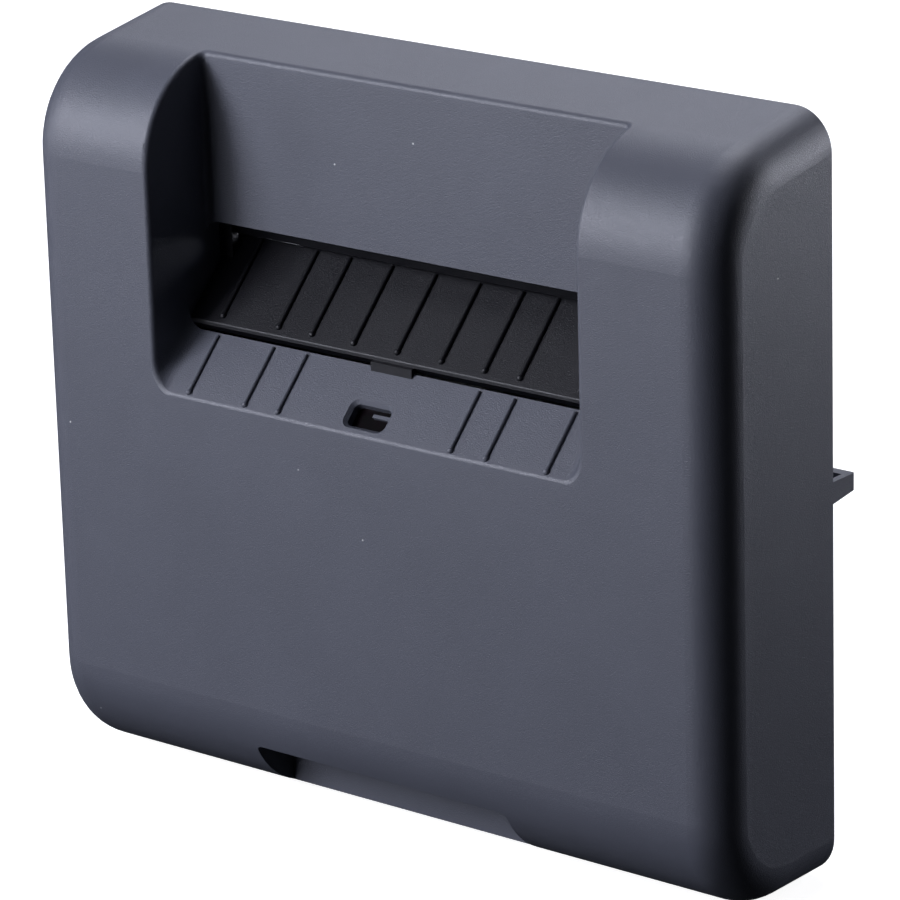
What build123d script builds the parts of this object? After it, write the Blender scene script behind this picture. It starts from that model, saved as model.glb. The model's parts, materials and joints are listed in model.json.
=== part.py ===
from build123d import *
from math import acos, cos, degrees, pi, radians, sin, sqrt, tan
import os

# Clip-on guillotine cutter module for a narrow label printer. Millimetres, +Z up.
# While modelling, x = 0 is the middle, y = 0 the front face and z = 0 the underside.
# place() then moves every piece so that the origin is the centre of the rear seating plane.

# ---- casing ----
body_width = 115.0
body_height = 103.5
body_depth = 25.0
wall = 2.2
top_radius = 14.5
bottom_radius = 14.5
top_slope = 9.0
side_round = 5.5

# ---- label mouth ----
mouth_half = 35.75
mouth_wall = 1.6
mouth_edge_round = 0.8
mouth_low_round = 2.5
mouth_back_round = 1.0
panel_y = 12.2
panel_thick = 2.0
panel_bottom = 78.0
throat_corner = 1.5
lip_front_z = 57.0
lip_thick = 2.0
lip_end_y = 7.2
guide_rise = 1.3
rib_radius = 0.32
rib_lift = 0.12
rib_end_radius = 0.48
rib_places = (0.0, 7.4, 14.6, 20.4, 30.2)
lip_rib_places = rib_places[2:]
window_x = -0.45
window_y = 2.15
window_width = 6.2
window_height = 3.3
window_corner = 0.8
window_bevel = 0.5

# ---- guide plate ----
guide_front = 7.25
guide_back = 16.9
guide_gap = 0.3
guide_thick = 1.6
guide_nose = 0.5
guide_edge_round = 0.34
clip_half = 3.45
clip_reach = 0.55
clip_gap = 0.06
hood_half = 34.0
hood_top = 78.6
hood_foot_y = 15.6
hood_foot_z = 75.7
hood_foot = 0.7
ear_front = 14.3
ear_back = 15.5
guide_screw_x = 39.2
guide_screw_z = 79.3

# ---- finger notch under the front edge ----
notch_half = 21.5
notch_height = 8.5
notch_depth = 9.0
notch_corner = 1.0

# ---- rear cover and its latch tabs ----
rear_gap = 0.2
rear_plate = 1.8
rear_y = body_depth - rear_plate
slot_half = 33.0
slot_low = 73.8
slot_high = 78.4
tab_outer_x = 54.0
tab_width = 6.5
tab_top = 52.5
tab_length = 10.0
tab_hole_width = 4.4
tab_hole_length = 5.4
tab_tip_thick = 2.35
tab_root_thick = 3.9
case_screws = ((50.8, 10.5), (50.8, 90.5))

# ---- cutter frame ----
sheet = 1.2
frame_y = 21.4
frame_back = frame_y + sheet
frame_low = 24.0
frame_high = 96.0
cheek_x = 46.0
cheek_out = cheek_x + sheet
cheek_front = 7.6
frame_screws = ((42.0, 91.0), (42.0, 27.5))

# ---- blades ----
fixed_y = 19.9
fixed_edge = 76.8
fixed_top = 90.0
fixed_half = 37.0
fixed_screws = (-30.0, 0.0, 30.0)
fixed_screw_z = 85.0
blade_gap = 0.05
moving_y = 18.75
moving_back = fixed_y - blade_gap
moving_half = 36.0
moving_low = 62.0
edge_middle = 72.5
edge_end = 74.5
blade_ear_width = 2.4
blade_ear_top = 79.0
blade_screws = (-25.0, 25.0)
blade_screw_z = 64.5
carrier_y = 17.3
carrier_half = 38.5
carrier_low = 60.5
carrier_high = 70.5
rack_x = 40.75
rack_half = 2.25
rail_inner = 43.3
rail_outer = 45.9
rail_screw_x = 44.6
rail_screw_z = 81.5

# ---- gears ----
module_train = 0.5
module_rack = 0.6
pressure = radians(25.0)
tooth_thinning = 0.08
small_teeth = 12
large_teeth = 36
rack_teeth = 14
shaft_y = 12.4
shaft_z = 64.0
shaft_radius = 1.5
bore_play = 0.04
small_pitch = module_train * small_teeth / 2
large_pitch = module_train * large_teeth / 2
rack_pitch = module_rack * rack_teeth / 2
centre_distance = small_pitch + large_pitch
idler_z = shaft_z - centre_distance
motor_z = idler_z - centre_distance
rack_plane_y = shaft_y + rack_pitch
plane_a = 48.2
plane_b = 50.8
gear_face = 2.0

# ---- motor ----
motor_radius = 8.0
motor_length = 24.0
motor_shaft_radius = 1.0

# ---- electronics ----
board_y = 16.4
board_thick = 1.6
board_x = (-37.5, 15.0)
board_z = (28.0, 52.0)
socket_x = (-22.0, -8.0)
socket_z = (33.0, 41.0)
sensor_lead_x = -5.6
sensor_socket_top = 50.5
sensor_screw_x = 8.5
sensor_board_out = -5.6
sensor_board_thick = 1.2


def place(shape):
    return Pos(0, -body_depth, -body_height / 2) * shape


def box(x0, x1, y0, y1, z0, z1):
    size = (x1 - x0, y1 - y0, z1 - z0)
    return Pos((x0 + x1) / 2, (y0 + y1) / 2, (z0 + z1) / 2) * Box(*size)


def rod_x(x0, x1, y, z, radius):
    return Pos((x0 + x1) / 2, y, z) * Rot(0, 90, 0) * Cylinder(radius, x1 - x0)


def rod_y(x, y0, y1, z, radius):
    return Pos(x, (y0 + y1) / 2, z) * Rot(90, 0, 0) * Cylinder(radius, y1 - y0)


def side_extrude(points, half):
    """Extrude a side-view outline, given as (y, z) points, equally to both sides."""
    face = Plane.YZ * make_face(Polyline(*points, close=True).edges())
    return extrude(face, half, both=True)


def front_extrude(points, y0, y1):
    """Extrude a front-view outline, given as (x, z) points, from y0 to y1."""
    face = Plane.XZ * make_face(Polyline(*points, close=True).edges())
    return Pos(0, y1, 0) * extrude(face, y1 - y0)


def on_lip(shape):
    """Take a shape whose +Z is the lip's outward normal, and stand it at the window."""
    return Pos(window_x, window_y, lip_front_z + window_y) * Rot(45, 0, 0) * shape


def lip_point(x, along, out):
    """A point from the window's centre: across, up the lip's slope, and out of its surface."""
    middle = (window_x, window_y, lip_front_z + window_y)
    return middle[0] + x, middle[1] + (along - out) / sqrt(2), middle[2] + (along + out) / sqrt(2)


def screw(x, z, head_y, tip_y, radius, head_radius, head_height):
    """A pan-head screw along Y: its head's underside is at head_y, its point at tip_y."""
    outward = -1 if tip_y > head_y else 1
    head_end = head_y + outward * head_height
    shank = rod_y(x, min(head_y, tip_y), max(head_y, tip_y), z, radius)
    head = rod_y(x, min(head_y, head_end), max(head_y, head_end), z, head_radius)
    drive = Pos(x, head_end, z) * Box(head_radius * 1.2, head_height * 0.9, head_radius * 0.3)
    cross = Pos(x, head_end, z) * Box(head_radius * 0.3, head_height * 0.9, head_radius * 1.2)
    return shank + head - drive - cross


# ---- gear teeth ----

def involute_point(base, radius, turn):
    """Point where an involute of the base circle reaches a radius, turned by an angle."""
    roll = acos(min(1.0, base / radius))
    angle = turn + tan(roll) - roll
    return radius * cos(angle), radius * sin(angle)


def gear_face_outline(teeth, module, phase):
    pitch = module * teeth / 2
    base = pitch * cos(pressure)
    root = pitch - 1.15 * module
    tip = pitch + 0.9 * module
    start = max(base, root + 0.02)
    half_tooth = (pi * module / 2 - tooth_thinning) / (2 * pitch)
    flank_turn = half_tooth + tan(pressure) - pressure
    edges = []
    for tooth in range(teeth):
        middle = phase + 2 * pi * tooth / teeth

        def flank(radius, side):
            x, y = involute_point(base, radius, -flank_turn)
            y = -y if side > 0 else y
            return Vector(x, y, 0).rotate(Axis.Z, degrees(middle))

        def polar(radius, angle):
            return Vector(radius * cos(angle), radius * sin(angle), 0)

        mid = (start + tip) / 2
        low_end = polar(root, middle - flank_turn)
        high_end = polar(root, middle + flank_turn)
        next_root = polar(root, middle + 2 * pi / teeth - flank_turn)
        gap_middle = polar(root, middle + pi / teeth)
        edges.append(Line(low_end, flank(start, -1)))
        edges.append(ThreePointArc(flank(start, -1), flank(mid, -1), flank(tip, -1)))
        edges.append(ThreePointArc(flank(tip, -1), polar(tip, middle), flank(tip, 1)))
        edges.append(ThreePointArc(flank(tip, 1), flank(mid, 1), flank(start, 1)))
        edges.append(Line(flank(start, 1), high_end))
        edges.append(ThreePointArc(high_end, gap_middle, next_root))
    return make_face(edges)


def spur_gear(teeth, module, phase, x0, x1, y, z, bore):
    face = Plane.YZ * gear_face_outline(teeth, module, phase)
    gear = Pos(x0, y, z) * extrude(face, x1 - x0)
    return gear - rod_x(x0 - 1, x1 + 1, y, z, bore)


# ---- casing pieces ----

def casing_block(inset, rear):
    """Outer shape of the casing, made smaller all round by an inset, up to a rear plane."""
    slope = radians(top_slope)
    r_top = top_radius - inset
    r_low = bottom_radius - inset
    top_rear_z = body_height - inset / cos(slope) + (rear - body_depth) * tan(slope)
    arc_end_y = inset + r_top - r_top * sin(slope)
    arc_end_z = top_rear_z - (rear - arc_end_y) * tan(slope)
    centre_z = arc_end_z - r_top * cos(slope)
    middle = radians(90 + (90 - top_slope) / 2 + top_slope)
    arc_middle = (inset + r_top + r_top * cos(middle), centre_z + r_top * sin(middle))
    low_middle = (inset + r_low * (1 - sqrt(0.5)), inset + r_low * (1 - sqrt(0.5)))
    outline = [
        Line((rear, inset), (inset + r_low, inset)),
        ThreePointArc((inset + r_low, inset), low_middle, (inset, inset + r_low)),
        Line((inset, inset + r_low), (inset, centre_z)),
        ThreePointArc((inset, centre_z), arc_middle, (arc_end_y, arc_end_z)),
        Line((arc_end_y, arc_end_z), (rear, top_rear_z)),
        Line((rear, top_rear_z), (rear, inset)),
    ]
    half = body_width / 2 - inset
    block = extrude(Plane.YZ * make_face(outline), half, both=True)
    rim = [e for e in block.edges() if abs(abs(e.center().X) - half) < 0.01 and e.center().Y < rear - 0.01]
    return fillet(rim, side_round - inset)


def lip_rib(x, y0, y1, rise):
    """A thin round rib along the chute slope, on the plane z = y + rise, with a bump at its foot."""
    bump_y = y0 + rib_end_radius
    out = rib_lift / sqrt(2)
    foot = Plane(origin=(x, bump_y - out, bump_y + rise + out), x_dir=(1, 0, 0), z_dir=(0, 1, 1))
    length = (y1 - bump_y) * sqrt(2)
    rod = foot * Cylinder(rib_radius, length, align=(Align.CENTER, Align.CENTER, Align.MIN))
    return rod + Pos(x, bump_y, bump_y + rise) * Sphere(rib_end_radius)


def both_sides(places):
    return [side * x for x in places for side in ((-1, 1) if x else (1,))]


def mouth_walls():
    under = lip_front_z - lip_thick * sqrt(2)
    back = panel_y + panel_thick
    high = body_height + 5
    return side_extrude([(0, under), (back, under + back), (back, high), (0, high)], mouth_half + mouth_wall)


def mouth_cut():
    """The space of the mouth: a chute along the lip's slope, cut off by the panel behind it."""
    far = 200.0
    slope = Plane(origin=(0, 0, lip_front_z), x_dir=(1, 0, 0), z_dir=(0, 1, 1))
    chute = slope * Pos(0, -far / 2, 0) * RectangleRounded(2 * mouth_half, far, mouth_low_round)
    before_panel = Pos(0, panel_y - far / 2, 0) * RectangleRounded(2 * mouth_half, far, mouth_back_round)
    return extrude(chute, far, both=True) & extrude(before_panel, far)


def throat_cut():
    """The opening between the lip and the panel, above the guide plate, with round top corners."""
    back = panel_y + panel_thick + 1
    throat = box(-mouth_half, mouth_half, lip_end_y, back, lip_front_z - 7, panel_bottom)
    top = [e for e in throat.edges().filter_by(Axis.Y) if e.center().Z > panel_bottom - 0.1]
    return fillet(top, throat_corner)


def cut_window(cover):
    """Cut the sensor window through the lip, and bevel its outer edge."""
    cover -= on_lip(extrude(RectangleRounded(window_width, window_height, window_corner), 4, both=True))
    rim = []
    for edge in cover.edges():
        middle = edge.position_at(0.5)
        on_surface = abs(middle.Z - middle.Y - lip_front_z) < 0.01
        near_window = abs(middle.X - window_x) < window_width and abs(middle.Y - window_y) < window_height / 2
        if on_surface and near_window:
            rim.append(edge)
    return chamfer(rim, window_bevel)


def window_ledge():
    """A small ledge in the window's right half, just above the lens."""
    return on_lip(Pos(window_width / 4, window_height * 0.2, -1.35) * Box(window_width / 2 + 0.2, 0.5, 0.5))


def mirrored_places(places):
    return [(side * x, z) for x, z in places for side in (-1, 1)]


def cover_bosses():
    """Screw bosses for the cutter frame, the rear cover and the guide plate."""
    bosses = []
    for x, z in mirrored_places(frame_screws):
        bosses.append(rod_y(x, 1, frame_y, z, 3.0))
    for x, z in mirrored_places(case_screws):
        bosses.append(rod_y(x, 1, rear_y, z, 3.2))
        outward = 3 if x > 0 else -3
        bosses.append(box(min(x, x + outward), max(x, x + outward), 4, rear_y, z - 0.8, z + 0.8))
    for x, z in mirrored_places([(guide_screw_x, guide_screw_z)]):
        bosses.append(rod_y(x, 1, panel_y + panel_thick, z, 2.7))
    return bosses


def cover_screw_holes():
    holes = []
    for x, z in mirrored_places(frame_screws):
        holes.append(rod_y(x, frame_y - 8, frame_y + 1, z, 1.25))
    for x, z in mirrored_places(case_screws):
        holes.append(rod_y(x, rear_y - 9, rear_y + 1, z, 1.25))
    for x, z in mirrored_places([(guide_screw_x, guide_screw_z)]):
        holes.append(rod_y(x, 7, panel_y + panel_thick + 1, z, 1.0))
    return holes


def finger_notch():
    notch = box(-notch_half, notch_half, -1, notch_depth, -1, notch_height)
    upper = [e for e in notch.edges().filter_by(Axis.Y) if e.center().Z > notch_height - 0.1]
    return fillet(upper, notch_corner)


def front_cover():
    outer = casing_block(0, body_depth)
    added = mouth_walls()
    added += box(-notch_half - wall, notch_half + wall, 0, notch_depth + wall, 0, notch_height + wall)
    for boss in cover_bosses():
        added += boss
    cover = outer - casing_block(wall, body_depth + 1) + (added & outer)
    mouth = mouth_cut()
    cover = round_mouth_edges(cover - (mouth + throat_cut()), mouth)
    cover -= finger_notch()
    cover = cut_window(cover)
    cover += window_ledge()
    for x in both_sides(lip_rib_places):
        cover += lip_rib(x, 0.12, lip_end_y - rib_radius, lip_front_z)
    for hole in cover_screw_holes():
        cover -= hole
    return cover


def round_mouth_edges(cover, mouth):
    """Round the edge of the mouth all the way round, where it meets the casing's outside."""
    rim = []
    for edge in cover.edges():
        if is_outer(edge) and mouth.distance_to(edge.position_at(0.5)) < 0.005:
            rim.append(edge)
    return fillet(rim, mouth_edge_round)


def is_outer(edge):
    """True for an edge that lies on the casing's outer surface."""
    middle = edge.position_at(0.5)
    slope = radians(top_slope)
    top_z = body_height - (body_depth - middle.Y) * tan(slope)
    on_front = abs(middle.Y) < 0.01
    on_top = abs(middle.Z - top_z) < 0.01
    arc_end_y = top_radius * (1 - sin(slope))
    centre_z = body_height - (body_depth - arc_end_y) * tan(slope) - top_radius * cos(slope)
    from_centre = sqrt((middle.Y - top_radius) ** 2 + (middle.Z - centre_z) ** 2)
    return on_front or on_top or abs(from_centre - top_radius) < 0.01


def latch_tab():
    """Right-hand latch tab: a thin shelf with a hole, which the printer's catch drops into."""
    tip = body_depth + tab_length
    root = rear_y + 0.2
    profile = [(root, tab_top), (tip, tab_top)]
    profile += [(tip, tab_top - tab_tip_thick), (root, tab_top - tab_root_thick)]
    tab = Pos(tab_outer_x - tab_width / 2, 0, 0) * side_extrude(profile, tab_width / 2)
    corners = [e for e in tab.edges().filter_by(Axis.Z) if e.center().Y > tip - 0.1]
    tab = fillet(corners, 0.3)
    hole_y = tip - 1.6 - tab_hole_length
    hole_x = tab_outer_x - 1.0 - tab_hole_width
    return tab - box(hole_x, hole_x + tab_hole_width, hole_y, hole_y + tab_hole_length, 40, 60)


def rear_cover():
    plate = casing_block(wall + rear_gap, body_depth) & box(-60, 60, rear_y, body_depth, 0, 110)
    plate -= box(-slot_half, slot_half, 20, 30, slot_low, slot_high)
    plate -= box(socket_x[0] - 0.3, socket_x[1] + 0.3, 20, 30, socket_z[0] - 0.3, socket_z[1] + 0.3)
    tab = latch_tab()
    plate += tab + mirror(tab, Plane.YZ)
    for x, z in mirrored_places(case_screws):
        plate -= rod_y(x, 20, 30, z, 1.5)
        plate -= rod_y(x, body_depth - 1.1, 30, z, 2.6)
    return plate


def guide_plate():
    top = lip_front_z + guide_rise
    under = top - guide_thick * sqrt(2)
    nose = guide_front + top - guide_nose
    nose_back = (guide_front + nose - under) / 2
    profile = [(guide_front, guide_front + top), (guide_front, nose), (nose_back, nose_back + under)]
    profile += [(guide_back, guide_back + under), (guide_back, guide_back + top)]
    plate = side_extrude(profile, mouth_half - guide_gap)
    brim = [e for e in plate.edges().filter_by(Axis.X)
            if abs(e.center().Y - guide_front) < 0.01 and e.center().Z > nose + 0.1]
    plate = fillet(brim, guide_edge_round)
    for x in both_sides(rib_places):
        plate += lip_rib(x, guide_front + 0.4, guide_back - 0.3, top)
    plate += guide_clip(nose) + guide_hood()
    for x, z in mirrored_places([(guide_screw_x, guide_screw_z)]):
        inner = 33.5 if x > 0 else -33.5
        outer = x + 2.4 if x > 0 else x - 2.4
        ear = box(min(inner, outer), max(inner, outer), ear_front, ear_back, 71.0, 82.0)
        plate += ear - rod_y(x, 10, 20, z, 1.1)
    return plate


def guide_clip(nose):
    """The tab in the middle of the guide's front edge, which laps over the top of the lip."""
    front = lip_end_y - clip_reach
    back = guide_front + 0.5
    surface = lip_front_z + clip_gap
    profile = [(front, front + surface), (lip_end_y, lip_end_y + surface), (back, lip_end_y + surface)]
    profile += [(back, nose + 0.1), (front, nose - 0.1)]
    return side_extrude(profile, clip_half)


def guide_hood():
    """The bar above the label's way: it joins the ears, and its underside follows the chute."""
    profile = [(ear_front, hood_top), (hood_foot_y, hood_foot_z)]
    profile += [(hood_foot_y + hood_foot, hood_foot_z + hood_foot), (ear_back, hood_top)]
    return side_extrude(profile, hood_half)


# ---- cutter frame and blades ----

def cutter_frame():
    plate = box(-cheek_out, cheek_out, frame_y, frame_back, frame_low, frame_high)
    plate -= box(-slot_half, slot_half, 20, 30, slot_low, slot_high)
    plate -= box(socket_x[0] - 1, socket_x[1] + 1, 20, 30, socket_z[0] - 1, socket_z[1] + 1)
    plate += box(-cheek_out, -cheek_x, cheek_front, frame_y, 56, 84)
    plate += box(cheek_x, cheek_out, cheek_front, frame_y, 56, 84)
    plate += box(cheek_x, cheek_out, 4.6, frame_y, 31.5, 57)
    for x, z in mirrored_places(frame_screws):
        plate -= rod_y(x, 20, 30, z, 1.4)
    for x in fixed_screws:
        plate -= rod_y(x, 20, 30, fixed_screw_z, 1.05)
    for x, z in board_screw_places():
        plate -= rod_y(x, 20, 30, z, 1.05)
    for x, z in mirrored_places([(rail_screw_x, rail_screw_z)]):
        plate -= rod_y(x, 20, 30, z, 0.9)
    plate -= rod_x(-50, 50, shaft_y, shaft_z, 2.5)
    plate -= rod_x(40, 50, shaft_y, idler_z, shaft_radius)
    plate -= rod_x(40, 50, shaft_y, motor_z, 3.05)
    for z in motor_screw_heights():
        plate -= rod_x(40, 50, shaft_y, z, 1.1)
    return plate


def fixed_blade():
    profile = [(fixed_y, fixed_edge), (frame_y, fixed_edge + 1.5), (frame_y, fixed_top), (fixed_y, fixed_top)]
    blade = side_extrude(profile, fixed_half)
    for x in fixed_screws:
        blade -= rod_y(x, 10, 30, fixed_screw_z, 1.3)
    return blade


def moving_blade():
    """A shallow V edge between two ears, which stay behind the fixed blade and guide it."""
    ear_foot = moving_half - blade_ear_width - 0.6
    right = [(0, edge_middle), (ear_foot, edge_end), (ear_foot + 0.6, blade_ear_top)]
    right += [(moving_half, blade_ear_top), (moving_half, moving_low)]
    left = [(-x, z) for x, z in reversed(right[1:])]
    blade = front_extrude(right + left, moving_y, moving_back)
    for x in blade_screws:
        blade -= rod_y(x, 10, 30, blade_screw_z, 1.05)
    return blade


def rack_strip():
    """Front-facing rack on the carrier's right end, with a gap level with the shaft."""
    pitch = pi * module_rack
    half = (pitch / 2 - tooth_thinning) / 2
    tip_y = rack_plane_y - 0.9 * module_rack
    root_y = rack_plane_y + 1.15 * module_rack
    spread_tip = half - 0.9 * module_rack * tan(pressure)
    spread_root = half + 1.15 * module_rack * tan(pressure)
    teeth_each_way = 3
    outline = [(moving_y, shaft_z - 9.5), (root_y, shaft_z - 9.5)]
    for tooth in range(-teeth_each_way - 1, teeth_each_way):
        z = shaft_z + (tooth + 0.5) * pitch
        outline += [(root_y, z - spread_root), (tip_y, z - spread_tip)]
        outline += [(tip_y, z + spread_tip), (root_y, z + spread_root)]
    outline += [(root_y, shaft_z + 8.0), (moving_y, shaft_z + 8.0)]
    return Pos(rack_x, 0, 0) * side_extrude(outline, rack_half)


def blade_carrier():
    beam = box(-carrier_half, carrier_half, carrier_y, moving_y, carrier_low, carrier_high)
    strip = rack_strip()
    beam += strip + mirror(strip, Plane.YZ)
    tongue = box(42.5, 44.6, carrier_y + 0.35, moving_y - 0.2, 56, 71)
    beam += tongue + mirror(tongue, Plane.YZ)
    beam += box(-34.0, -33.0, shaft_y + shaft_radius + 0.5, carrier_y + 0.5, 53.5, 61.5)
    for x in blade_screws:
        beam -= rod_y(x, 10, 30, blade_screw_z, 1.05)
    return beam


def carrier_rail(side):
    rail = box(rail_inner, rail_outer, 16.5, frame_y, 54.5, 84)
    rail -= box(40, 44.8, carrier_y + 0.25, 30, 50, 78.5)
    rail += box(44.0, rail_outer, moving_y, frame_y, 54.5, 84)
    rail -= rod_y(rail_screw_x, 17, 30, rail_screw_z, 0.9)
    return rail if side > 0 else mirror(rail, Plane.YZ)


# ---- drive train ----

def cross_shaft():
    shaft = rod_x(-49.4, 50.6, shaft_y, shaft_z, shaft_radius)
    groove = rod_x(-48.3, -47.7, shaft_y, shaft_z, 2) - rod_x(-50, -46, shaft_y, shaft_z, 1.1)
    return shaft - groove


def rack_pinion(side):
    inner, outer = 38.8, 42.7
    x0 = inner if side > 0 else -outer
    return spur_gear(rack_teeth, module_rack, 0, x0, x0 + outer - inner, shaft_y, shaft_z, shaft_radius)


def shaft_gear():
    outer = plane_a + gear_face
    gear = spur_gear(large_teeth, module_train, 0, plane_a, outer, shaft_y, shaft_z, shaft_radius)
    gear += rod_x(47.7, plane_a, shaft_y, shaft_z, 3.2) - rod_x(47, 49, shaft_y, shaft_z, shaft_radius)
    for turn in range(6):
        angle = radians(60 * turn + 30)
        y = shaft_y + 5.6 * cos(angle)
        z = shaft_z + 5.6 * sin(angle)
        gear -= rod_x(47, 52, y, z, 1.5)
    return gear


def shaft_bushing(side):
    bush = rod_x(45.3, cheek_x, shaft_y, shaft_z, 3.5) + rod_x(cheek_x, 47.4, shaft_y, shaft_z, 2.5)
    bush -= rod_x(45, 48, shaft_y, shaft_z, shaft_radius + bore_play)
    return bush if side > 0 else mirror(bush, Plane.YZ)


def retaining_ring(x0, z, inner):
    ring = rod_x(x0, x0 + 0.5, shaft_y, z, 2.8) - rod_x(x0 - 1, x0 + 1, shaft_y, z, inner)
    return ring - box(x0 - 1, x0 + 1, shaft_y - 5, shaft_y, z - 0.6, z + 0.6)


def idler_stud():
    stud = rod_x(cheek_x, 53.8, shaft_y, idler_z, shaft_radius)
    stud += rod_x(cheek_out, 47.9, shaft_y, idler_z, 2.6)
    groove = rod_x(53.0, 53.6, shaft_y, idler_z, 2) - rod_x(52, 54, shaft_y, idler_z, 1.1)
    return stud - groove


def idler_gear():
    bore = shaft_radius + bore_play
    small = spur_gear(small_teeth, module_train, radians(15), plane_a - 0.2, plane_b, shaft_y, idler_z, bore)
    large = spur_gear(large_teeth, module_train, 0, plane_b, plane_b + gear_face, shaft_y, idler_z, bore)
    return small + large


def motor_shaft():
    return rod_x(34, 53.0, shaft_y, motor_z, motor_shaft_radius)


def motor_pinion():
    return spur_gear(
        small_teeth, module_train, radians(15), plane_b - 0.2, 52.9, shaft_y, motor_z, motor_shaft_radius)


def motor_can():
    start = cheek_x - motor_length
    can = rod_x(start, cheek_x, shaft_y, motor_z, motor_radius) + rod_x(cheek_x, 47.0, shaft_y, motor_z, 3.0)
    can -= rod_x(33.6, 48, shaft_y, motor_z, motor_shaft_radius + bore_play)
    for z in motor_screw_heights():
        can -= rod_x(cheek_x - 3, cheek_x + 1, shaft_y, z, 1.0)
    return can


def motor_screw_heights():
    return motor_z - 5.5, motor_z + 5.5


def motor_cap():
    start = cheek_x - motor_length
    cap = rod_x(start - 2, start, shaft_y, motor_z, 7.4)
    for z in (motor_z - 3, motor_z + 3):
        cap += box(start - 4, start - 2, shaft_y - 0.25, shaft_y + 0.25, z - 1, z + 1)
    return cap


def motor_screws():
    screws = []
    for z in motor_screw_heights():
        shank = rod_x(cheek_x - 2.5, cheek_out, shaft_y, z, 1.0)
        head = rod_x(cheek_out, 48.2, shaft_y, z, 1.8)
        screws.append(shank + head - box(47.7, 49, shaft_y - 1.2, shaft_y + 1.2, z - 0.2, z + 0.2))
    return Compound(children=screws)


# ---- electronics ----

def board_screw_places():
    return ((-34.5, 31.0), (12.0, 31.0), (12.0, 49.0))


def control_board():
    board = box(board_x[0], board_x[1], board_y, board_y + board_thick, board_z[0], board_z[1])
    for x, z in board_screw_places():
        board -= rod_y(x, 10, 30, z, 1.1)
    return board


def board_standoffs():
    back = board_y + board_thick
    return Compound(children=[
        rod_y(x, back, frame_y, z, 2.2) - rod_y(x, 10, 30, z, 1.0) for x, z in board_screw_places()])


def board_chips():
    driver = box(-4, 2, board_y - 1.2, board_y, 36, 43)
    controller = box(-26, -18, board_y - 1.3, board_y, 34, 42)
    reservoir = rod_y(-32.5, board_y - 8, board_y, 40, 3.1)
    return Compound(children=[driver, controller, reservoir])


def lead_sockets():
    motor_socket = box(6.0, 12.0, board_y - 4.8, board_y, 36.0, 44.0)
    sensor_socket = box(sensor_lead_x - 3, sensor_lead_x + 3, board_y - 4.0, board_y, 46.5, sensor_socket_top)
    return Compound(children=[motor_socket, sensor_socket])


def printer_socket():
    back = board_y + board_thick
    shell = box(socket_x[0], socket_x[1], back, body_depth, socket_z[0], socket_z[1])
    shell -= box(socket_x[0] + 1, socket_x[1] - 1, body_depth - 5, 30, socket_z[0] + 1, socket_z[1] - 1)
    middle = (socket_z[0] + socket_z[1]) / 2
    inner = (socket_x[0] + 2.2, socket_x[1] - 2.2)
    return shell + box(*inner, body_depth - 5.5, body_depth - 1, middle - 0.7, middle + 0.7)


def home_sensor():
    body = box(-37.5, -29.5, 12.8, board_y, 46.0, 50.0)
    for x in (-37.5, -32.0):
        body += box(x, x + 2.5, 12.8, board_y - 0.2, 50.0, 56.5)
    return body


def lead(points, bends):
    path = FilletPolyline(*points, radius=bends)
    start = Plane(origin=path @ 0, z_dir=path % 0)
    return sweep(start * Circle(0.4), path=path)


def motor_leads():
    terminal_x = cheek_x - motor_length - 4
    leads = []
    for z, socket in ((motor_z + 3, 41.6), (motor_z - 3, 38.4)):
        middle_y = shaft_y + 1.4
        points = [(terminal_x, shaft_y, z), (16.0, shaft_y, z)]
        points += [(14.0, middle_y, socket), (12.0, middle_y, socket)]
        leads.append(lead(points, 1.4))
    return Compound(children=leads)


def sensor_lens():
    outline = RectangleRounded(window_width, window_height, window_corner)
    return on_lip(Pos(0, 0, 0.2 - lip_thick) * extrude(outline, 0.2, both=True))


def label_sensor():
    return on_lip(Pos(0, 0, -1.5 - lip_thick) * Box(6.0, 3.2, 3.0))


def sensor_board():
    board = on_lip(Pos(0, sensor_board_thick, sensor_board_out) * Box(22.0, 9.0, sensor_board_thick))
    for x in (-sensor_screw_x, sensor_screw_x):
        board -= on_lip(Pos(x, 1.2, sensor_board_out) * Cylinder(1.0, 3))
    return board


def sensor_posts():
    posts = []
    for x in (-sensor_screw_x, sensor_screw_x):
        post = Pos(x, 1.2, -1.5 - lip_thick) * Cylinder(1.7, 3.0) - Pos(x, 1.2, -3.5) * Cylinder(0.8, 4.0)
        posts.append(on_lip(post))
    return Compound(children=posts)


def sensor_screws():
    screws = []
    for x in (-sensor_screw_x, sensor_screw_x):
        shank = Pos(x, 1.2, -4.2) * Cylinder(0.8, 4.0)
        head = Pos(x, 1.2, -6.7) * Cylinder(1.6, 1.0)
        screws.append(on_lip(shank + head))
    return Compound(children=screws)


def sensor_lead():
    start = lip_point(sensor_lead_x - window_x, 1.2, sensor_board_out - sensor_board_thick / 2)
    lower = (sensor_lead_x, 9.2, 54.0)
    level = (sensor_lead_x, 14.4, 53.2)
    return lead([start, lower, level, (sensor_lead_x, 14.4, sensor_socket_top)], 1.4)


# ---- fasteners ----

def group_along_y(places, head_y, tip_y, radius, head_radius, head_height):
    return Compound(children=[
        screw(x, z, head_y, tip_y, radius, head_radius, head_height) for x, z in places])


def case_screw_set():
    return group_along_y(mirrored_places(case_screws), body_depth - 1.1, body_depth - 9, 1.25, 2.4, 1.1)


def frame_screw_set():
    return group_along_y(mirrored_places(frame_screws), frame_back, frame_y - 7, 1.25, 2.4, 0.55)


def guide_screw_set():
    return group_along_y(mirrored_places([(guide_screw_x, guide_screw_z)]), ear_back, 8, 1.0, 1.8, 1.1)


def fixed_blade_screws():
    return group_along_y([(x, fixed_screw_z) for x in fixed_screws], fixed_y, frame_back, 1.05, 2.1, 1.2)


def moving_blade_screws():
    return group_along_y([(x, blade_screw_z) for x in blade_screws], carrier_y, moving_back, 1.05, 1.8, 1.2)


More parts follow.
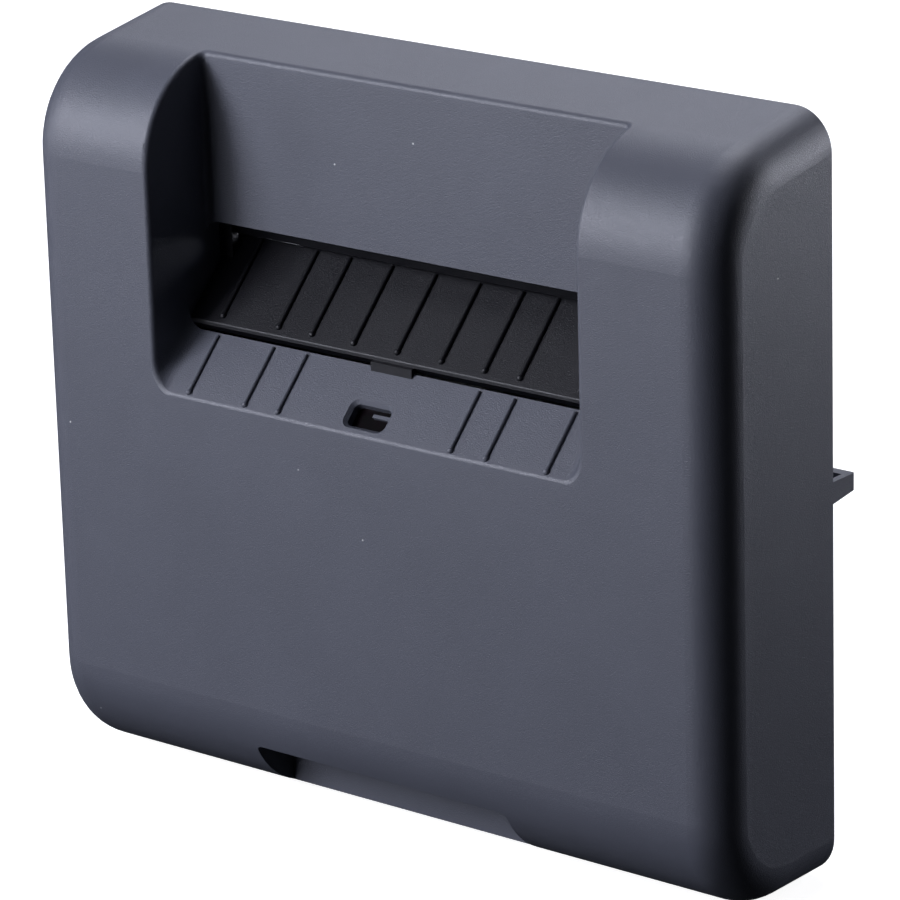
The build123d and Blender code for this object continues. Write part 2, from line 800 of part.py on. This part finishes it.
def rail_screws():
    return group_along_y(mirrored_places([(rail_screw_x, rail_screw_z)]), frame_back, 18.5, 0.9, 1.5, 0.55)


def board_screws():
    return group_along_y(board_screw_places(), board_y, frame_back, 1.0, 1.9, 1.1)


parts = {
    "front_cover": front_cover(),
    "rear_cover": rear_cover(),
    "guide_plate": guide_plate(),
    "sensor_lens": sensor_lens(),
    "label_sensor": label_sensor(),
    "sensor_board": sensor_board(),
    "sensor_posts": sensor_posts(),
    "sensor_screws": sensor_screws(),
    "sensor_lead": sensor_lead(),
    "cutter_frame": cutter_frame(),
    "fixed_blade": fixed_blade(),
    "moving_blade": moving_blade(),
    "blade_carrier": blade_carrier(),
    "carrier_rail_left": carrier_rail(-1),
    "carrier_rail_right": carrier_rail(1),
    "cross_shaft": cross_shaft(),
    "rack_pinion_left": rack_pinion(-1),
    "rack_pinion_right": rack_pinion(1),
    "shaft_gear": shaft_gear(),
    "shaft_ring": retaining_ring(-48.25, shaft_z, 1.1),
    "shaft_bushing_left": shaft_bushing(-1),
    "shaft_bushing_right": shaft_bushing(1),
    "idler_stud": idler_stud(),
    "idler_gear": idler_gear(),
    "idler_ring": retaining_ring(53.05, idler_z, 1.1),
    "motor_can": motor_can(),
    "motor_cap": motor_cap(),
    "motor_shaft": motor_shaft(),
    "motor_pinion": motor_pinion(),
    "motor_screws": motor_screws(),
    "motor_leads": motor_leads(),
    "control_board": control_board(),
    "board_standoffs": board_standoffs(),
    "board_chips": board_chips(),
    "board_screws": board_screws(),
    "lead_sockets": lead_sockets(),
    "printer_socket": printer_socket(),
    "home_sensor": home_sensor(),
    "case_screws": case_screw_set(),
    "frame_screws": frame_screw_set(),
    "guide_screws": guide_screw_set(),
    "rail_screws": rail_screws(),
    "fixed_blade_screws": fixed_blade_screws(),
    "moving_blade_screws": moving_blade_screws(),
}

os.makedirs("parts", exist_ok=True)
for name, shape in parts.items():
    export_step(place(shape), f"parts/{name}.step")
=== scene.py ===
import json
from math import cos, radians, sin

import bmesh
import bpy
from mathutils import Matrix, Vector


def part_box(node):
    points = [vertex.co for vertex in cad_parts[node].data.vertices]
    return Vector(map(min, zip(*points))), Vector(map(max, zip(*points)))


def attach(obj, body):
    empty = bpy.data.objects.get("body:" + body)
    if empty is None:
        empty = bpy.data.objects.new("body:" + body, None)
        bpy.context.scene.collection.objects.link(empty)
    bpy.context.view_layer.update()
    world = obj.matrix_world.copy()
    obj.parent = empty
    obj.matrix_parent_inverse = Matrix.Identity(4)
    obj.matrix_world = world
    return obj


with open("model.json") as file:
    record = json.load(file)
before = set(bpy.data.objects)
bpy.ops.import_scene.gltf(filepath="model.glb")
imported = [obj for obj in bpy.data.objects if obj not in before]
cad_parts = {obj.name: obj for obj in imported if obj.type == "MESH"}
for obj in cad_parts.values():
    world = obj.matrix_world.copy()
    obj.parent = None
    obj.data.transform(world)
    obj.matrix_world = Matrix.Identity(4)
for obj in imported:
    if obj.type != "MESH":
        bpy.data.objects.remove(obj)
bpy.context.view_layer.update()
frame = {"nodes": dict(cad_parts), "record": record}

# Clip-on cutter module for a narrow label printer. Metres, in the CAD frame:
# x = 0 is the middle, y = 0 the rear seating plane, z = 0 half way up the casing.

nodes = frame["nodes"]
case_low, case_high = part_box("front_cover")
mm = 0.001
floor_z = case_low.z


# ---- camera ----

def add_camera():
    """A long lens to the right of the casing's front, a little above it and slightly rolled."""
    yaw, pitch, roll = radians(39.05), radians(18.16), radians(1.59)
    distance = 0.6872
    side_shift = 0.00376
    sensor_width = 36
    focal_length = 207.2
    right = Vector((cos(yaw), sin(yaw), 0))
    forward = Vector((-sin(yaw) * cos(pitch), cos(yaw) * cos(pitch), -sin(pitch)))
    down = forward.cross(right)
    tilted_right = cos(roll) * right + sin(roll) * down
    tilted_down = cos(roll) * down - sin(roll) * right
    middle = (case_low + case_high) / 2
    aim = Vector((0, middle.y, middle.z)) + side_shift * tilted_right
    data = bpy.data.cameras.new("camera")
    data.sensor_width = sensor_width
    data.lens = focal_length
    camera = bpy.data.objects.new("camera", data)
    axes = Matrix((tilted_right, -tilted_down, -forward)).transposed()
    camera.matrix_world = Matrix.Translation(aim - distance * forward) @ axes.to_4x4()
    bpy.context.scene.collection.objects.link(camera)
    bpy.context.scene.camera = camera


# ---- floor, backdrop and light ----

def add_soft_light(name, left, up, distance, side, watts):
    """A square light that faces the origin, in degrees left of the casing's front and up from level."""
    cool_white = (0.86, 0.88, 1.0)
    turn, rise = radians(left), radians(up)
    direction = Vector((-sin(turn) * cos(rise), -cos(turn) * cos(rise), sin(rise)))
    data = bpy.data.lights.new(name, "AREA")
    data.shape = "SQUARE"
    data.size = side
    data.energy = watts
    data.color = cool_white
    light = bpy.data.objects.new(name, data)
    light.location = distance * direction
    light.rotation_euler = (-direction).to_track_quat("-Z", "Y").to_euler()
    bpy.context.scene.collection.objects.link(light)


def add_paper(name, build, glow, height=0.0):
    """Turn a finished mesh into a glowing pale sheet that neither lights nor mirrors in the part."""
    mesh = bpy.data.meshes.new(name)
    build.to_mesh(mesh)
    build.free()
    material, shader = plain_shader(name + "_paper")
    shader.inputs["Base Color"].default_value = (0.5, 0.5, 0.5, 1)
    shader.inputs["Roughness"].default_value = 0.9
    shader.inputs["Emission Color"].default_value = (1, 1, 1, 1)
    shader.inputs["Emission Strength"].default_value = glow
    mesh.materials.append(material)
    thing = bpy.data.objects.new(name, mesh)
    thing.location.z = height
    thing.visible_diffuse = False
    thing.visible_glossy = False
    bpy.context.scene.collection.objects.link(thing)
    return thing


def add_stage():
    """A pale floor under the casing and a pale shell round everything."""
    floor_radius = 3.0
    shell_radius = 3.2
    gap_under_casing = 0.2 * mm
    circle = bmesh.new()
    bmesh.ops.create_circle(circle, cap_ends=True, segments=96, radius=floor_radius)
    add_paper("floor", circle, 0.9, floor_z - gap_under_casing)
    sphere = bmesh.new()
    bmesh.ops.create_uvsphere(sphere, u_segments=48, v_segments=24, radius=shell_radius)
    shell = add_paper("backdrop", sphere, 1.0)
    shell.visible_shadow = False


def add_lights():
    """Soft lights all round, each with its angles, distance, side and power, and a faint sky."""
    add_soft_light("key", 36, 25, 0.55, 0.20, 2.5)
    add_soft_light("front", 20, 5, 0.55, 0.25, 1.2)
    add_soft_light("left_low", 68, 2, 1.0, 0.45, 1.5)
    add_soft_light("left_high", 72, 46, 1.0, 0.35, 0.5)
    add_soft_light("left_back", 140, 25, 1.0, 0.45, 0.85)
    add_soft_light("back_top", 155, 62, 1.0, 0.45, 5.6)
    add_soft_light("right_back", -160, 6, 1.0, 0.5, 10.0)
    world = bpy.data.worlds.new("studio")
    bpy.context.scene.world = world
    world.use_nodes = True
    sky = world.node_tree.nodes["Background"]
    sky.inputs["Color"].default_value = (0.8, 0.85, 1.0, 1)
    sky.inputs["Strength"].default_value = 0.015


# ---- material building ----

def plain_shader(name):
    material = bpy.data.materials.new(name)
    material.use_nodes = True
    return material, material.node_tree.nodes["Principled BSDF"]


class Surface:
    """A procedural material, built up from noise in the part's own metres."""

    def __init__(self, name, roughness, metallic=0.0, specular=0.5):
        self.material, self.shader = plain_shader(name)
        self.tree = self.material.node_tree
        self.shader.inputs["Metallic"].default_value = metallic
        self.shader.inputs["Roughness"].default_value = roughness
        self.shader.inputs["Specular IOR Level"].default_value = specular
        self.coordinates = self.tree.nodes.new("ShaderNodeTexCoord").outputs["Object"]
        self.normal = None

    def node(self, kind, **values):
        made = self.tree.nodes.new(kind)
        for name, value in values.items():
            setattr(made, name, value)
        return made

    def link(self, start, end):
        self.tree.links.new(start, end)

    def stretched(self, factors):
        """The coordinates, squeezed along each axis by a factor, for streaks."""
        mapping = self.node("ShaderNodeMapping")
        mapping.inputs["Scale"].default_value = factors
        self.link(self.coordinates, mapping.inputs["Vector"])
        return mapping.outputs["Vector"]

    def noise(self, size, detail=2.0, factors=None):
        """Noise whose features are about one size across, in metres."""
        made = self.node("ShaderNodeTexNoise")
        made.inputs["Scale"].default_value = 1 / size
        made.inputs["Detail"].default_value = detail
        made.inputs["Roughness"].default_value = 0.6
        self.link(self.stretched(factors) if factors else self.coordinates, made.inputs["Vector"])
        return made.outputs["Fac"]

    def cells(self, size, feature="F1"):
        made = self.node("ShaderNodeTexVoronoi", feature=feature)
        made.inputs["Scale"].default_value = 1 / size
        self.link(self.coordinates, made.inputs["Vector"])
        return made.outputs["Distance"]

    def ramp(self, value, stops):
        """A colour ramp: stops are (position, colour) pairs."""
        made = self.node("ShaderNodeValToRGB")
        elements = made.color_ramp.elements
        while len(elements) < len(stops):
            elements.new(0.5)
        for element, (position, colour) in zip(elements, stops):
            element.position = position
            element.color = (*colour, 1)
        self.link(value, made.inputs["Fac"])
        return made.outputs["Color"]

    def spread(self, value, low, high):
        made = self.node("ShaderNodeMapRange")
        made.inputs["To Min"].default_value = low
        made.inputs["To Max"].default_value = high
        self.link(value, made.inputs["Value"])
        return made.outputs["Result"]

    def colour(self, value):
        self.link(value, self.shader.inputs["Base Color"])

    def roughness(self, value):
        self.link(value, self.shader.inputs["Roughness"])

    def bump(self, height, depth, strength=1.0):
        """Add relief: depth is in metres, and further bumps go on top of the first."""
        made = self.node("ShaderNodeBump")
        made.inputs["Distance"].default_value = depth
        made.inputs["Strength"].default_value = strength
        self.link(height, made.inputs["Height"])
        if self.normal:
            self.link(self.normal, made.inputs["Normal"])
        self.normal = made.outputs["Normal"]
        self.link(self.normal, self.shader.inputs["Normal"])


def shade(colour, factor):
    return tuple(channel * factor for channel in colour)


def moulded_surface(name, colour, grain, depth, roughness, specular=0.5):
    """Moulded plastic with the fine grain that an eroded mould leaves, and its clouded colour."""
    cloud_size = 18 * mm
    unevenness = 0.06
    surface = Surface(name, roughness, specular=specular)
    cloud = surface.noise(cloud_size, 3.0)
    tint = surface.ramp(cloud, ((0.3, shade(colour, 0.95)), (0.7, shade(colour, 1.05))))
    surface.colour(tint)
    patches = surface.noise(grain * 3, 3.0)
    surface.roughness(surface.spread(patches, roughness - unevenness, roughness + unevenness))
    surface.bump(surface.noise(grain, 4.0), depth)
    return surface, tint


def moulded_plastic(name, colour, **finish):
    return moulded_surface(name, colour, **finish)[0].material


def lightest(surface, first, second):
    """The lighter of two colours; a Mix node has its colour sockets after those of its other types."""
    colour_a, colour_b, colour_result = 6, 7, 2
    mix = surface.node("ShaderNodeMix", data_type="RGBA", blend_type="LIGHTEN")
    mix.inputs["Factor"].default_value = 1.0
    surface.link(first, mix.inputs[colour_a])
    surface.link(second, mix.inputs[colour_b])
    return mix.outputs[colour_result]


def casing_plastic():
    """The casing's blue-grey plastic, with a few specks of dust."""
    blue_grey = (0.080, 0.085, 0.105)
    dust = (0.6, 0.6, 0.6)
    speck_spacing = 8 * mm
    speck_radius = 0.11 * mm
    edge = speck_radius / speck_spacing
    surface, tint = moulded_surface(
        "casing", blue_grey, grain=0.17 * mm, depth=0.06 * mm, roughness=0.41, specular=0.58)
    specks = surface.ramp(surface.cells(speck_spacing), ((edge, dust), (edge * 1.3, (0, 0, 0))))
    surface.colour(lightest(surface, tint, specks))
    return surface.material


def black_plastic():
    near_black = (0.004, 0.004, 0.006)
    return moulded_plastic(
        "black_plastic", near_black, grain=0.16 * mm, depth=0.05 * mm, roughness=0.40, specular=0.38)


def window_lens_painted_shade():
    """Window plastic, nearly black as painted shade for the dark inside behind it, with a slightly wavy
    face.
    """
    surface = Surface("lens", 0.3, specular=0.05)
    cloud = surface.noise(2 * mm, 2.0)
    # Near-black colour: painted shade standing in for the dark inside behind the window.
    surface.colour(surface.ramp(cloud, ((0.3, (0.001, 0.001, 0.001)), (0.7, (0.003, 0.001, 0.002)))))
    surface.bump(surface.noise(4 * mm, 1.0), 0.01 * mm)
    return surface.material


def component_epoxy():
    soot = (0.018, 0.018, 0.020)
    return moulded_plastic("component_black", soot, grain=0.12 * mm, depth=0.03 * mm, roughness=0.55)


def circuit_board():
    """Green solder mask with lighter lines where copper tracks run under it."""
    mask = (0.010, 0.085, 0.040)
    masked_copper = (0.022, 0.150, 0.070)
    surface = Surface("board", 0.32)
    track = surface.cells(4.2 * mm, "DISTANCE_TO_EDGE")
    surface.colour(surface.ramp(track, ((0.03, masked_copper), (0.05, mask))))
    surface.roughness(surface.spread(surface.noise(0.6 * mm), 0.25, 0.42))
    surface.bump(surface.noise(0.4 * mm, 3.0), 0.02 * mm)
    return surface.material


def metal(name, colour, roughness, streaks, grain):
    """Bare metal whose grain is drawn out along the axes with the small factors."""
    surface = Surface(name, roughness, metallic=1.0)
    lines = surface.noise(grain, 3.0, streaks)
    surface.colour(surface.ramp(lines, ((0.25, shade(colour, 0.86)), (0.75, colour))))
    surface.roughness(surface.spread(lines, roughness - 0.07, roughness + 0.1))
    surface.bump(lines, 0.01 * mm, 0.5)
    return surface.material


def sintered_bronze():
    oiled_pore = (0.20, 0.11, 0.05)
    bright_bronze = (0.52, 0.33, 0.16)
    surface = Surface("bronze", 0.42, metallic=1.0)
    pores = surface.cells(0.35 * mm)
    surface.colour(surface.ramp(pores, ((0.1, oiled_pore), (0.4, bright_bronze))))
    surface.bump(pores, 0.04 * mm)
    return surface.material


def soft_vinyl(name, colour):
    surface = Surface(name, 0.38)
    surface.colour(surface.ramp(surface.noise(3 * mm), ((0.3, shade(colour, 0.85)), (0.7, colour))))
    surface.bump(surface.noise(0.7 * mm), 0.02 * mm)
    return surface.material


materials = {
    "casing": casing_plastic(),
    "black_plastic": black_plastic(),
    "lens": window_lens_painted_shade(),
    "component_black": component_epoxy(),
    "board": circuit_board(),
    "plated_steel": metal("plated_steel", (0.62, 0.63, 0.62), 0.34, (1, 1, 1), 1.6 * mm),
    "blade_steel": metal("blade_steel", (0.70, 0.71, 0.72), 0.22, (1, 1, 0.03), 0.2 * mm),
    "shaft_steel": metal("shaft_steel", (0.66, 0.66, 0.67), 0.2, (1, 0.1, 0.1), 0.2 * mm),
    "screw_steel": metal("screw_steel", (0.42, 0.42, 0.43), 0.32, (1, 1, 1), 0.4 * mm),
    "gear_plastic": moulded_plastic(
        "gear_plastic", (0.66, 0.65, 0.60), grain=0.5 * mm, depth=0.02 * mm, roughness=0.42),
    "bronze": sintered_bronze(),
    "lead_black": soft_vinyl("lead_black", (0.015, 0.015, 0.016)),
    "lead_red": soft_vinyl("lead_red", (0.42, 0.015, 0.012)),
    "socket_white": moulded_plastic(
        "socket_white", (0.70, 0.69, 0.64), grain=0.4 * mm, depth=0.02 * mm, roughness=0.45),
}


def dress_nodes():
    """Give every CAD node the material of its slot."""
    slots = {entry["node"]: entry["material_slot"] for entry in frame["record"]["subparts"]}
    for name, thing in nodes.items():
        used = materials[slots[name]]
        if not thing.material_slots:
            thing.data.materials.append(None)
        for slot in thing.material_slots:
            slot.material = used


def rounded_bar(build, low, high, bevel):
    """Add a box with rounded edges to a mesh, from its low corner to its high corner."""
    size = high - low
    place = Matrix.Translation((low + high) / 2) @ Matrix.Diagonal((*size, 1))
    made = bmesh.ops.create_cube(build, size=1, matrix=place)
    edges = list({edge for vertex in made["verts"] for edge in vertex.link_edges})
    bmesh.ops.bevel(build, geom=edges, offset=bevel, segments=2, affect="EDGES", profile=0.5)


def add_piece(name, build, body, slot):
    """Turn a finished mesh into a piece that rides on a body and wears a slot's material."""
    mesh = bpy.data.meshes.new(name)
    build.to_mesh(mesh)
    build.free()
    mesh.materials.append(materials[slot])
    piece = bpy.data.objects.new(name, mesh)
    bpy.context.scene.collection.objects.link(piece)
    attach(piece, body)


def add_socket_pins():
    """Contact strips above and below the tongue of the printer's socket."""
    low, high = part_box("printer_socket")
    pin_count = 6
    pitch = (high.x - low.x) * 0.105
    pin_size = Vector((0.64 * mm, 3.9 * mm, 0.22 * mm))
    pin_depth = 5.2 * mm
    lift_off_middle = 0.82 * mm
    edge_round = 0.05 * mm
    middle = (low + high) / 2
    build = bmesh.new()
    for number in range(pin_count):
        x = middle.x + (number - (pin_count - 1) / 2) * pitch
        for side in (-1, 1):
            z = middle.z + side * lift_off_middle
            corner = Vector((x - pin_size.x / 2, high.y - pin_depth, z - pin_size.z / 2))
            rounded_bar(build, corner, corner + pin_size, edge_round)
    add_piece("socket_pins", build, "housing", "bronze")


add_camera()
add_stage()
add_lights()
dress_nodes()
add_socket_pins()
bpy.context.scene.view_settings.view_transform = "Standard"
